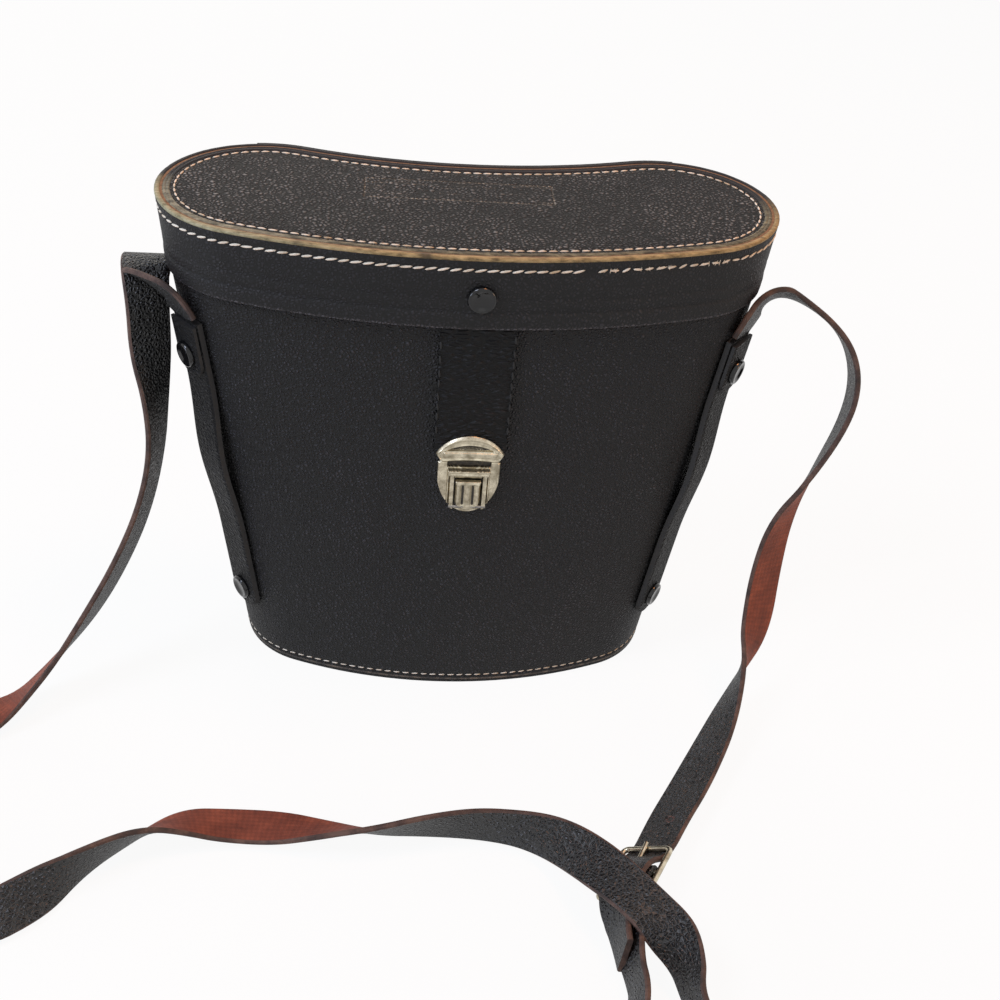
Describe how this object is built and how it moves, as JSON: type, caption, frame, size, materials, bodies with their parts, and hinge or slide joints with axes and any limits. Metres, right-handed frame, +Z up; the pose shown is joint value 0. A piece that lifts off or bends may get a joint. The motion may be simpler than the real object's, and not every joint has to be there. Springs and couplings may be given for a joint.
{
  "type": "binocular case",
  "caption": "Black kidney-shaped hard case with a hinged lid, closing tab with press lock, and a shoulder strap in two lengths joined by a buckle.",
  "frame": {"origin": "centre of the case's footprint on the surface it stands on, the straps left out", "axes": "+Z up, +X to the right along the case's length, -Y out of the front, which carries the lock; the lid's hinge is at +Y"},
  "size_m": [0.3307, 0.2736, 0.1861],
  "materials": {
    "leatherette": "black grained coated cloth, semi-matt",
    "black_leather": "black creased leather, semi-matt",
    "strap_leather": "black finished face, red-brown flesh side",
    "fibreboard": "pressed brown fibreboard",
    "flock_lining": "dark red flock paper",
    "white_thread": "off-white waxed thread",
    "black_thread": "black thread",
    "nickel_plate": "warm grey nickel plate, worn",
    "steel": "plain pressed steel",
    "black_enamel": "glossy black enamel"
  },
  "bodies": {
    "case": {"body_cover": "leatherette", "body_core": "fibreboard", "body_lining": "flock_lining", "base_cover": "leatherette", "base_board": "fibreboard", "base_lining": "flock_lining", "base_stitching": "white_thread", "inner_collar": "fibreboard", "hinge_leg_left": "black_leather", "hinge_leg_right": "black_leather", "hinge_stitching_lower": "black_thread", "lock_body": "nickel_plate", "lock_back_plate": "steel", "tongue_pin": "steel", "tongue_spring": "steel", "side_strip_left": "strap_leather", "side_strip_right": "strap_leather", "strap_anchor_left": "black_leather", "strap_anchor_right": "black_leather", "side_rivets": "black_enamel", "side_rivet_washers": "steel", "long_strap": "strap_leather", "short_strap": "strap_leather", "buckle_frame": "nickel_plate", "buckle_chape": "strap_leather", "buckle_prong": "nickel_plate"},
    "lid": {"lid_skirt_cover": "leatherette", "lid_skirt_core": "fibreboard", "lid_lining": "flock_lining", "lid_top_board": "fibreboard", "lid_top_cover": "leatherette", "lid_rim_flange": "leatherette", "lid_top_stitching": "white_thread", "skirt_stitching": "white_thread", "hinge_flap": "black_leather", "hinge_stitching_upper": "black_thread", "lid_rivet": "black_enamel", "lid_rivet_washer": "steel", "tab_root": "black_leather"},
    "tab": {"closure_tab": "black_leather", "tab_stitching": "black_thread", "hasp_plate": "nickel_plate", "hasp_back_plate": "steel"},
    "tongue": {"press_tongue": "nickel_plate"}
  },
  "joints": [
    {"name": "lid_hinge", "type": "hinge", "parent": "case", "child": "lid", "pos_m": [0, 0.0432, 0.16], "axis": [-1, 0, 0], "range_deg": [0, 105]},
    {"name": "tab_hinge", "type": "hinge", "parent": "lid", "child": "tab", "pos_m": [0.002, -0.0405, 0.15985], "axis": [-1, 0, 0], "range_deg": [0, 70]},
    {"name": "tongue_press", "type": "hinge", "parent": "case", "child": "tongue", "pos_m": [0.002, -0.04016, 0.08824], "axis": [-1, 0, 0], "range_deg": [0, 7], "stiffness_Nm_per_rad": 0.5}
  ]
}
